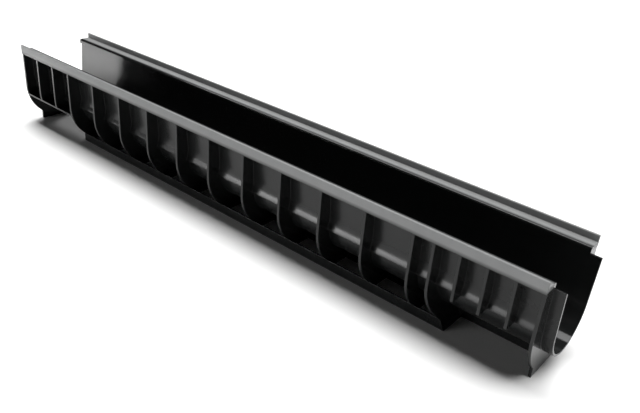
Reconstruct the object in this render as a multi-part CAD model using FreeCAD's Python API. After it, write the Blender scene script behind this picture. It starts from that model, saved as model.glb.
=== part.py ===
import FreeCAD, Part
import os
from math import cos, radians, sin, tan

# Drainage channel, moulded in one piece. Millimetres, +Z up, X along the channel.
# The origin is midway along the whole length, on the centre line, at the level of the feet.
# While it is built, X is counted from the end face of the rim at the socket end.

# Overall sizes
rim_length = 1000.0
overall_width = 140.0
overall_height = 143.0

# Trough: a half round with two straight sides that lean outwards towards the top
wall = 3.0
bore_radius = 43.0
bore_centre_height = 67.0
side_lean = radians(4.5)

# Rim: a seat for the grating, a lip outside it and a skirt that hangs below
seat_depth = 8.5
seat_thickness = 3.5
seat_rounding = 3.0
lip_thickness = 3.5
lip_rounding = 1.2
skirt_height = 16.0
skirt_thickness = 3.0

# Coupling: the trough runs on past the rim as a tongue, which the next channel's socket takes
tongue_length = 14.0
tongue_drop = 8.0
coupling_clearance = 0.5

# Ribs, flanges and feet outside the trough
rib_thickness = 4.0
rib_setback = 1.0
rib_pitch = 69.6
foot_width = 88.0
web_thickness = 3.0
rail_height = 14.0

# End zones, each from the rim's end face to the first deep rib
socket_zone = 140.0
socket_zone_short_ribs = 2
shelf_height = 50.0
shelf_thickness = 3.5
tongue_zone = 136.0
tongue_zone_short_ribs = 3
short_rib_foot = 64.0
bow_radius = 130.0

# Bead along the foot of each straight side, level with the lower ends of the short ribs
bead_height = 11.0
bead_reach = 5.0
bead_nose = 2.0

# Heights closer than this count as one
same_level = 1e-6

# Levels and places that follow from the sizes above
seat_level = overall_height - seat_depth
seat_underside = seat_level - seat_thickness
inside_seat = seat_level - seat_thickness / 2
skirt_foot = overall_height - skirt_height
tongue_top = seat_level - tongue_drop
socket_depth = tongue_length + 2 * coupling_clearance
half_width = overall_width / 2
rib_reach = half_width - rib_setback
outer_radius = bore_radius + wall
bowed_rib = rim_length - tongue_zone


def trough(radius, top, start, end, lean=side_lean):
    """A bar along X with a round bottom and straight sides, flat across at the height top."""
    spring = bore_centre_height - radius * sin(lean)
    spring_half = radius * cos(lean)
    top_half = spring_half + (top - spring) * tan(lean)
    bottom = FreeCAD.Vector(start, 0, bore_centre_height - radius)
    near_spring = FreeCAD.Vector(start, -spring_half, spring)
    far_spring = FreeCAD.Vector(start, spring_half, spring)
    near_top = FreeCAD.Vector(start, -top_half, top)
    far_top = FreeCAD.Vector(start, top_half, top)
    outline = [
        Part.makeLine(near_top, near_spring),
        Part.Arc(near_spring, bottom, far_spring).toShape(),
        Part.makeLine(far_spring, far_top),
        Part.makeLine(far_top, near_top),
    ]
    return Part.Face(Part.Wire(outline)).extrude(FreeCAD.Vector(end - start, 0, 0))


def slab(start, end, low, high):
    """A block as wide as the channel, between two places along it and two heights."""
    corner = FreeCAD.Vector(start, -half_width, low)
    return Part.makeBox(end - start, overall_width, high - low, corner)


def cross_bar(radius):
    """A round bar across the channel, about the centre that the bowed rib curves round."""
    centre = FreeCAD.Vector(bowed_rib + bow_radius, -half_width, bore_centre_height)
    return Part.makeCylinder(radius, overall_width, centre, FreeCAD.Vector(0, 1, 0))


def mirrored(shape):
    """The shape and its twin on the other side of the centre line."""
    return [shape, shape.mirror(FreeCAD.Vector(0, 0, 0), FreeCAD.Vector(0, 1, 0))]


def long_bar(section, start, end):
    """A bar along X whose section is a polygon of distances from the centre line and heights."""
    corners = [FreeCAD.Vector(start, y, z) for y, z in section]
    outline = Part.makePolygon(corners + corners[:1])
    return Part.Face(outline).extrude(FreeCAD.Vector(end - start, 0, 0))


def rim_side():
    """One side of the rim: the skirt, the lip above it and the seat that joins it to the trough."""
    section = [
        (half_width, skirt_foot),
        (half_width, overall_height),
        (half_width - lip_thickness, overall_height),
        (half_width - lip_thickness, seat_level),
        (bore_radius, seat_level),
        (bore_radius, seat_underside),
        (half_width - skirt_thickness, seat_underside),
        (half_width - skirt_thickness, skirt_foot),
    ]
    return long_bar(section, 0, rim_length)


def long_edges(shape, height, keep):
    """Edges along the channel at one height whose distance from the centre line passes the test."""
    found = []
    for edge in shape.Edges:
        start = edge.Vertexes[0].Point
        end = edge.Vertexes[-1].Point
        along = abs(end.x - start.x) > rim_length / 2
        level = abs(start.z - height) < same_level and abs(end.z - height) < same_level
        if along and level and keep(abs(start.y)):
            found.append(edge)
    return found


def trough_and_rim():
    """The trough over the rim's length, hollowed, with the seat's inner edges and the lips rounded."""
    solid = trough(outer_radius, inside_seat, 0, rim_length).fuse(mirrored(rim_side()))
    solid = solid.cut(trough(bore_radius, overall_height, 0, rim_length)).removeSplitter()
    seat_edges = long_edges(solid, seat_level, lambda y: y < half_width - 2 * lip_thickness)
    solid = solid.makeFillet(seat_rounding, seat_edges)
    return solid.makeFillet(lip_rounding, long_edges(solid, overall_height, lambda y: True))


def rib_outline():
    """The ribs' common outline over the rim's length: a wider half round that stands on a flat foot."""
    body = trough(rib_reach, inside_seat, 0, rim_length, lean=0.0)
    foot_corner = FreeCAD.Vector(0, -foot_width / 2, 0)
    body = body.fuse(Part.makeBox(rim_length, foot_width, bore_centre_height, foot_corner))
    return body.common(slab(0, rim_length, 0, overall_height)).removeSplitter()


def deep_rib_places():
    """Centres of the deep ribs, one pitch apart from the socket zone up to the bowed rib."""
    room = rim_length - socket_zone - tongue_zone
    return [socket_zone + rib_pitch * i for i in range(int(room / rib_pitch) + 1)]


def rib(centre, low):
    """A flat rib about one place along the channel, from the height low up into the seat."""
    return slab(centre - rib_thickness / 2, centre + rib_thickness / 2, low, inside_seat)


def short_ribs(start, length, count, low):
    """Ribs that divide an end zone evenly and stop short of the feet."""
    return [rib(start + length * (i + 1) / (count + 1), low) for i in range(count)]


def bowed_plate():
    """The last rib: upright beside the straight sides, then curving towards the tongue end."""
    ring = cross_bar(bow_radius + rib_thickness / 2).cut(cross_bar(bow_radius - rib_thickness / 2))
    quarter = slab(bowed_rib - rib_thickness, bowed_rib + bow_radius, 0, bore_centre_height)
    return ring.common(quarter).fuse(rib(bowed_rib, bore_centre_height)).removeSplitter()


def rib_cage():
    """Every rib, end flange and shelf outside the trough, trimmed to the common outline."""
    plates = [rib(centre, 0) for centre in deep_rib_places()]
    plates += [rib(rib_thickness / 2, 0), rib(rim_length - rib_thickness / 2, 0), bowed_plate()]
    plates += short_ribs(0, socket_zone, socket_zone_short_ribs, shelf_height)
    plates += short_ribs(bowed_rib, tongue_zone, tongue_zone_short_ribs, short_rib_foot)
    plates.append(slab(0, socket_zone, shelf_height, shelf_height + shelf_thickness))
    return rib_outline().common(plates[0].fuse(plates[1:]))


def long_web(place, height):
    """An upright web along the channel, from the first deep rib into the bowed rib."""
    length = bowed_rib + bow_radius - socket_zone
    corner = FreeCAD.Vector(socket_zone, place - web_thickness / 2, 0)
    web = Part.makeBox(length, web_thickness, height, corner)
    return web.cut(cross_bar(bow_radius))


def webs():
    """Two rails that join the feet of the deep ribs, and a keel that closes the space under the trough."""
    rail = long_web((foot_width - web_thickness) / 2, rail_height)
    keel = long_web(0, bore_centre_height - bore_radius - wall / 2)
    return mirrored(rail) + [keel]


def bead():
    """One bead: a sloping flank that runs out of the straight side to a blunt nose, flat underneath."""
    root = bore_radius + wall / 2
    nose = outer_radius + bead_reach
    top = short_rib_foot + bead_height
    section = [
        (root, short_rib_foot),
        (nose, short_rib_foot),
        (nose, short_rib_foot + bead_nose),
        (outer_radius, top),
        (root, top),
    ]
    return long_bar(section, rib_thickness / 2, rim_length - rib_thickness / 2)


def socket_sleeve():
    """The wider stretch of wall round the socket."""
    sleeve_radius = outer_radius + coupling_clearance + wall
    return trough(sleeve_radius, inside_seat, 0, socket_depth + wall)


def channel_body():
    """The whole channel."""
    core = trough(bore_radius + wall / 2, overall_height, 0, rim_length)
    outside = [piece.cut(core) for piece in [rib_cage(), socket_sleeve()]]
    tongue = trough(outer_radius, tongue_top, rim_length - wall, rim_length + tongue_length)
    tongue = tongue.cut(trough(bore_radius, overall_height, 0, rim_length + tongue_length))
    solid = trough_and_rim().fuse(outside + webs() + mirrored(bead()) + [tongue])
    recess = trough(outer_radius + coupling_clearance, tongue_top + coupling_clearance, -wall, socket_depth)
    solid = solid.cut(recess).removeSplitter()
    solid.translate(FreeCAD.Vector(-(rim_length + tongue_length) / 2, 0, 0))
    return solid


os.makedirs("parts", exist_ok=True)
channel = channel_body()
channel.exportStep("parts/channel_body.step")
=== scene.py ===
"""A black moulded drainage channel on a pale studio floor. Metres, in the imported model's frame."""
from math import radians, tan

import bpy
from mathutils import Matrix, Vector


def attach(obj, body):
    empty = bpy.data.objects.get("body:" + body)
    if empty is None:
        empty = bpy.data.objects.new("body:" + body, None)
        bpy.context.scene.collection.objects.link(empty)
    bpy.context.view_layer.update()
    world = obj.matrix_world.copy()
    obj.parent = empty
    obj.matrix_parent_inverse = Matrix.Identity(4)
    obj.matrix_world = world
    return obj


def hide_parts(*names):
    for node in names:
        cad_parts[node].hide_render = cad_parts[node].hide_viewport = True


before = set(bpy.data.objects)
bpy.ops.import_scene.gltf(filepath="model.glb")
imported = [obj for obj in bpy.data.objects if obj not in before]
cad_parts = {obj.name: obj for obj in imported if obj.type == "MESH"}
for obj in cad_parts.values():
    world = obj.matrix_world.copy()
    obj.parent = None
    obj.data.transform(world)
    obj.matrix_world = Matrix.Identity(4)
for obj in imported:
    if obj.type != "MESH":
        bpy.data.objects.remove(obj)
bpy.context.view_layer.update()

MM = 0.001

# Corners closer than this become one, and faces that meet at less than this angle become one
WELD_GAP = 0.002 * MM
FLAT_WITHIN = radians(0.3)

# Rounding of the moulding's edges
EDGE_ROUNDING = 0.45 * MM
EDGE_STEPS = 2
SHARP_FROM = radians(35)

# The keel's last stretch, from inside the bowed rib's foot to the middle of the end flange
KEEL_START = 365.0 * MM
KEEL_END = 491.0 * MM
KEEL_THICKNESS = 3.0 * MM
KEEL_HEIGHT = 22.5 * MM

# The line where each bead's flank runs out of the leaning side
SIDE_LEAN = radians(4.5)
BEAD_LEVEL = 73.78 * MM
BEAD_BESIDE = 46.68 * MM
BEAD_WITHIN = 0.05 * MM

# How far up the side that line is drawn, and how far the hollow then reaches to either side of it
BEAD_RISE = 3.4 * MM
BEAD_HOLLOW = 7.0 * MM
BEAD_STEPS = 6

# Painted sheen on the rim: a grey tone over the black, fading in upwards from the skirt's foot and
# outwards from the seat's inner rounding
RIM_FOOT = 127.0 * MM
RIM_FADE = 5.5 * MM
RIM_INSIDE = 50.8 * MM
RIM_BLEND = 6.0 * MM

# Black polypropylene, darker and lighter by turns where the melt flowed; the rim's grey tones are painted
# sheen, varied the same way
BLACK_TONES = ("#131414", "#1B1C1C")
RIM_SHEEN_TONES = ("#6F7070", "#7F8080")
PLASTIC_IOR = 1.49
PLASTIC_SPECULAR = 0.26
FLOW_WIDTH = 35.0 * MM
FLOW_DETAIL = 3.0
FLOW_BREAKUP = 0.55
FLOW_LOW = 0.3
FLOW_HIGH = 0.7

# The mould's grain is about 0.1 mm wide, and is drawn coarser so that it shows
GRAIN_WIDTH = 1.2 * MM
GRAIN_DETAIL = 2.0
GRAIN_DEPTH = 0.03 * MM
GRAIN_STRENGTH = 0.25

# Roughness of the polished inside at its best and worst, what the outside adds, and that of the rim
POLISHED = 0.1
LESS_POLISHED = 0.16
OUTSIDE_COARSER = 0.11
RIM_ROUGHNESS = 0.5

# A face is fully outside where its normal's Y times its distance from the middle comes to this
FACING_OUT = 2.0 * MM

# Numbers of a Mix node's colour sockets, whose names are those of its other sockets too
MIX_FIRST = 6
MIX_SECOND = 7
MIX_RESULT = 2

# Camera, from the lines of the rims and ribs in the photograph
EYE = Vector((0.6737, -0.6929, 0.5360))
VIEW_AZIMUTH = radians(37.75)
VIEW_ELEVATION = radians(28.61)
VIEW_ROLL = radians(5.16)
LEVEL_TILT = radians(90)
SENSOR_WIDTH_MM = 36.0
LENS_MM = 39.99

# Floor
FLOOR_WIDTH = 3.6
FLOOR_MIDDLE = (-0.3, 0.8, 0.0)
PAPER_TONES = ("#F1F1F0", "#F5F5F5")
PAPER_ROUGHNESS = 0.9
CLOUD_WIDTH = 400.0 * MM
CLOUD_DETAIL = 2.0

# The sky, which is white to the camera and lights the channel very little
SKY_COLOUR = "#FFFFFF"
SKY_SEEN = 1.0
SKY_STRENGTH = 0.01

# The beam of a soft box without a grid
OPEN_BEAM = radians(180)


def linear(hex_colour):
    """An sRGB hex colour as linear red, green and blue, with full alpha."""
    shares = [int(hex_colour[i:i + 2], 16) / 255 for i in (1, 3, 5)]
    return [s / 12.92 if s <= 0.04045 else ((s + 0.055) / 1.055) ** 2.4 for s in shares] + [1.0]


def add_node(tree, kind, settings=None, numbered=None, **named):
    """A shader node with its settings. Its inputs, by number or by name, are values or outputs to link."""
    node = tree.nodes.new(kind)
    for name, value in (settings or {}).items():
        setattr(node, name, value)
    inputs = {name.replace("_", " "): value for name, value in named.items()}
    inputs.update(numbered or {})
    for key, value in inputs.items():
        socket = node.inputs[key]
        if isinstance(value, bpy.types.NodeSocket):
            tree.links.new(value, socket)
        else:
            socket.default_value = value
    return node


def new_material(name):
    """An empty node material with its output and the coordinates of a point on the piece."""
    material = bpy.data.materials.new(name)
    material.use_nodes = True
    tree = material.node_tree
    tree.nodes.clear()
    output = tree.nodes.new("ShaderNodeOutputMaterial")
    surface_point = tree.nodes.new("ShaderNodeTexCoord").outputs
    return material, tree, output, surface_point


def rim_share(tree, axes):
    """How much of the rim's painted grey sheen and matt roughness a point has, from its place across the
    channel and its height.
    """
    beside = add_node(tree, "ShaderNodeMath", {"operation": "ABSOLUTE"}, Value=axes["Y"])
    outside = add_node(
        tree, "ShaderNodeMapRange", Value=beside.outputs["Value"],
        From_Min=RIM_INSIDE, From_Max=RIM_INSIDE + RIM_BLEND,
    )
    share = add_node(
        tree, "ShaderNodeMapRange", Value=axes["Z"],
        From_Min=RIM_FOOT, From_Max=RIM_FOOT + RIM_FADE, To_Max=outside.outputs["Result"],
    )
    return share.outputs["Result"]


def wall_roughness(tree, axes, normal, flow):
    """Roughness of the black walls: it varies with the flow, and is higher where a face looks outwards."""
    polish = add_node(
        tree, "ShaderNodeMapRange", Value=flow,
        From_Min=FLOW_LOW, From_Max=FLOW_HIGH, To_Min=POLISHED, To_Max=LESS_POLISHED,
    )
    facing = add_node(tree, "ShaderNodeSeparateXYZ", Vector=normal).outputs["Y"]
    outwards = add_node(tree, "ShaderNodeMath", {"operation": "MULTIPLY"}, {0: facing, 1: axes["Y"]})
    coarser = add_node(
        tree, "ShaderNodeMapRange", Value=outwards.outputs["Value"],
        From_Min=0.0, From_Max=FACING_OUT, To_Max=OUTSIDE_COARSER,
    )
    shares = {0: polish.outputs["Result"], 1: coarser.outputs["Result"]}
    return add_node(tree, "ShaderNodeMath", {"operation": "ADD"}, shares).outputs["Value"]


def moulded_polypropylene():
    """Black polypropylene as it comes from a steel mould.

    The polished bore mirrors the floor clearly, the outside comes from a coarser half of the mould and
    blurs what it mirrors, and the etched rim is matt, with a painted sheen: a grey tone in place of the
    light it catches.
    """
    material, tree, output, surface_point = new_material("moulded_polypropylene")
    place = surface_point["Object"]
    axes = add_node(tree, "ShaderNodeSeparateXYZ", Vector=place).outputs
    rim = rim_share(tree, axes)
    flow = add_node(
        tree, "ShaderNodeTexNoise", Vector=place,
        Scale=1 / FLOW_WIDTH, Detail=FLOW_DETAIL, Roughness=FLOW_BREAKUP,
    ).outputs["Fac"]
    tones = []
    for first, second in (BLACK_TONES, RIM_SHEEN_TONES):
        ends = {MIX_FIRST: linear(first), MIX_SECOND: linear(second)}
        mixed = add_node(tree, "ShaderNodeMix", {"data_type": "RGBA"}, ends, Factor=flow)
        tones.append(mixed.outputs[MIX_RESULT])
    black, grey = tones
    ends = {MIX_FIRST: black, MIX_SECOND: grey}
    # Painted sheen: the rim's share mixes the grey tone in over the black
    tone = add_node(tree, "ShaderNodeMix", {"data_type": "RGBA"}, ends, Factor=rim)
    walls = wall_roughness(tree, axes, surface_point["Normal"], flow)
    gloss = add_node(tree, "ShaderNodeMix", Factor=rim, A=walls, B=RIM_ROUGHNESS)
    grain = add_node(tree, "ShaderNodeTexNoise", Vector=place, Scale=1 / GRAIN_WIDTH, Detail=GRAIN_DETAIL)
    bump = add_node(
        tree, "ShaderNodeBump", Height=grain.outputs["Fac"], Strength=GRAIN_STRENGTH, Distance=GRAIN_DEPTH,
    )
    surface = add_node(
        tree, "ShaderNodeBsdfPrincipled", Base_Color=tone.outputs[MIX_RESULT],
        Roughness=gloss.outputs["Result"], IOR=PLASTIC_IOR, Specular_IOR_Level=PLASTIC_SPECULAR,
        Normal=bump.outputs["Normal"],
    )
    tree.links.new(surface.outputs["BSDF"], output.inputs["Surface"])
    return material


def studio_paper():
    """Pale matt paper, pressed smooth: all but white, with a very faint cloudiness and no shine."""
    material, tree, output, surface_point = new_material("studio_paper")
    place = surface_point["Object"]
    cloud = add_node(tree, "ShaderNodeTexNoise", Vector=place, Scale=1 / CLOUD_WIDTH, Detail=CLOUD_DETAIL)
    ends = {MIX_FIRST: linear(PAPER_TONES[0]), MIX_SECOND: linear(PAPER_TONES[1])}
    tone = add_node(tree, "ShaderNodeMix", {"data_type": "RGBA"}, ends, Factor=cloud.outputs["Fac"])
    surface = add_node(
        tree, "ShaderNodeBsdfPrincipled", Base_Color=tone.outputs[MIX_RESULT], Roughness=PAPER_ROUGHNESS,
    )
    tree.links.new(surface.outputs["BSDF"], output.inputs["Surface"])
    return material


def make_active(piece):
    """Only this piece is selected, and it is the active one."""
    bpy.ops.object.select_all(action="DESELECT")
    piece.select_set(True)
    bpy.context.view_layer.objects.active = piece


def weld(piece):
    """Joins the piece's faces at their corners."""
    make_active(piece)
    bpy.ops.object.mode_set(mode="EDIT")
    bpy.ops.mesh.select_all(action="SELECT")
    bpy.ops.mesh.remove_doubles(threshold=WELD_GAP)
    bpy.ops.object.mode_set(mode="OBJECT")


def add_keel_end(piece):
    """Carries the keel on from the bowed rib to the end flange."""
    middle = ((KEEL_START + KEEL_END) / 2, 0.0, KEEL_HEIGHT / 2)
    size = (KEEL_END - KEEL_START, KEEL_THICKNESS, KEEL_HEIGHT)
    bpy.ops.object.select_all(action="DESELECT")
    bpy.ops.mesh.primitive_cube_add(size=1.0, location=middle, scale=size)
    keel = bpy.context.object
    bpy.ops.object.transform_apply(location=True, rotation=True, scale=True)
    make_active(piece)
    union = piece.modifiers.new("keel_end", "BOOLEAN")
    union.operation = "UNION"
    union.solver = "EXACT"
    union.object = keel
    bpy.ops.object.modifier_apply(modifier=union.name)
    bpy.data.objects.remove(keel)


def on_bead_root(corner, side):
    """Whether a corner lies on the line where one side's bead runs out of the leaning wall."""
    level = abs(corner.co.z - BEAD_LEVEL) < BEAD_WITHIN
    return level and abs(side * corner.co.y - BEAD_BESIDE) < BEAD_WITHIN


def hollow_beads(piece):
    """Draws each bead's flank a little up the wall, and turns the crease there into a hollow curve."""
    make_active(piece)
    bpy.ops.object.mode_set(mode="EDIT")
    bpy.ops.mesh.select_all(action="SELECT")
    bpy.ops.mesh.dissolve_limited(angle_limit=FLAT_WITHIN)
    for side in (-1, 1):
        bpy.ops.mesh.select_mode(type="VERT")
        bpy.ops.mesh.select_all(action="DESELECT")
        bpy.ops.object.mode_set(mode="OBJECT")
        for corner in piece.data.vertices:
            corner.select = on_bead_root(corner, side)
        bpy.ops.object.mode_set(mode="EDIT")
        bpy.ops.transform.translate(value=(0.0, side * BEAD_RISE * tan(SIDE_LEAN), BEAD_RISE))
        bpy.ops.mesh.select_mode(type="EDGE")
        bpy.ops.mesh.bevel(offset=BEAD_HOLLOW, segments=BEAD_STEPS, affect="EDGES")
    bpy.ops.object.mode_set(mode="OBJECT")


def round_edges(piece):
    """Rounds every sharp edge a little, and evens out the shading of the flat faces between them."""
    rounding = piece.modifiers.new("edge_rounding", "BEVEL")
    rounding.width = EDGE_ROUNDING
    rounding.segments = EDGE_STEPS
    rounding.limit_method = "ANGLE"
    rounding.angle_limit = SHARP_FROM
    rounding.use_clamp_overlap = False
    bpy.ops.object.modifier_apply(modifier=rounding.name)
    weld(piece)
    bpy.ops.object.shade_smooth_by_angle(angle=SHARP_FROM)
    evened = piece.modifiers.new("even_shading", "WEIGHTED_NORMAL")
    evened.keep_sharp = True
    bpy.ops.object.modifier_apply(modifier=evened.name)


def channel_moulding():
    """The channel as it leaves the mould: the solid's own faces, welded, with the finer forms added."""
    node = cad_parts["channel_body"]
    piece = bpy.data.objects.new("channel_moulding", node.data.copy())
    bpy.context.scene.collection.objects.link(piece)
    weld(piece)
    add_keel_end(piece)
    weld(piece)
    hollow_beads(piece)
    round_edges(piece)
    piece.data.materials.clear()
    piece.data.materials.append(moulded_polypropylene())
    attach(piece, "root")
    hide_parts("channel_body")


def studio_floor():
    """A plain pale floor at the level of the feet."""
    bpy.ops.object.select_all(action="DESELECT")
    bpy.ops.mesh.primitive_plane_add(size=FLOOR_WIDTH, location=FLOOR_MIDDLE)
    bpy.ops.object.transform_apply(location=True, rotation=True, scale=True)
    floor = bpy.context.object
    floor.name = "studio_floor"
    floor.data.materials.append(studio_paper())


def studio_sky():
    """A sky that is white to the camera and dim to everything else."""
    world = bpy.data.worlds.new("white_studio")
    bpy.context.scene.world = world
    world.use_nodes = True
    tree = world.node_tree
    ray = add_node(tree, "ShaderNodeLightPath")
    strength = add_node(
        tree, "ShaderNodeMix", Factor=ray.outputs["Is Camera Ray"], A=SKY_STRENGTH, B=SKY_SEEN,
    )
    background = tree.nodes["Background"]
    background.inputs["Color"].default_value = linear(SKY_COLOUR)
    tree.links.new(strength.outputs["Result"], background.inputs["Strength"])


def soft_light(name, place, aim, width, depth, power, beam=OPEN_BEAM):
    """A soft box turned towards one point and not seen by the camera. A grid can narrow its beam."""
    data = bpy.data.lights.new(name, "AREA")
    data.shape = "RECTANGLE"
    data.size = width
    data.size_y = depth
    data.energy = power
    data.spread = beam
    light = bpy.data.objects.new(name, data)
    light.location = place
    light.rotation_euler = (Vector(aim) - Vector(place)).to_track_quat("-Z", "Y").to_euler()
    light.visible_camera = False
    bpy.context.scene.collection.objects.link(light)


def studio_lights():
    """Two large boxes overhead, and three weaker lights near the floor or aimed at one part of it."""
    # Lights the channel and the floor, and leaves a soft shadow in front of the feet
    soft_light(
        "overhead_box", place=(-0.2, 0.415, 3.0), aim=(-0.2, 0.415, 0.0),
        width=6.0, depth=1.47, power=229,
    )
    # Lights a patch of floor that the polished far wall mirrors at the socket end
    soft_light(
        "left_pool", place=(-0.95, -0.27, 0.9), aim=(-0.95, -0.27, 0.0),
        width=0.53, depth=0.3, power=2.4, beam=radians(20),
    )
    # Stands low in front, where the beads' hollows mirror it as a light band along the bays
    soft_light(
        "front_card", place=(-0.72, -2.22, 0.13), aim=(0.58, -0.22, 0.07),
        width=1.9, depth=0.46, power=4.8, beam=radians(60),
    )
    # Keeps the floor behind the channel white
    soft_light(
        "back_box", place=(-0.2, 2.5, 3.0), aim=(-0.2, 2.5, 0.0),
        width=6.0, depth=1.2, power=90,
    )
    # Shines in from behind, under the shelf, on the floor at the socket end
    soft_light(
        "under_card", place=(-0.78, 1.08, 0.41), aim=(-0.44, 0.0, 0.0),
        width=0.3, depth=0.2, power=0.09, beam=radians(16),
    )


def photo_camera():
    """The camera at the photograph's viewing angle."""
    data = bpy.data.cameras.new("photo_camera")
    data.sensor_width = SENSOR_WIDTH_MM
    data.lens = LENS_MM
    camera = bpy.data.objects.new("photo_camera", data)
    turn = Matrix.Rotation(VIEW_AZIMUTH, 4, "Z")
    tilt = Matrix.Rotation(LEVEL_TILT - VIEW_ELEVATION, 4, "X")
    roll = Matrix.Rotation(VIEW_ROLL, 4, "Z")
    camera.matrix_world = Matrix.Translation(EYE) @ turn @ tilt @ roll
    bpy.context.scene.collection.objects.link(camera)
    bpy.context.scene.camera = camera


channel_moulding()
studio_floor()
studio_sky()
studio_lights()
photo_camera()
bpy.context.scene.view_settings.view_transform = "Standard"
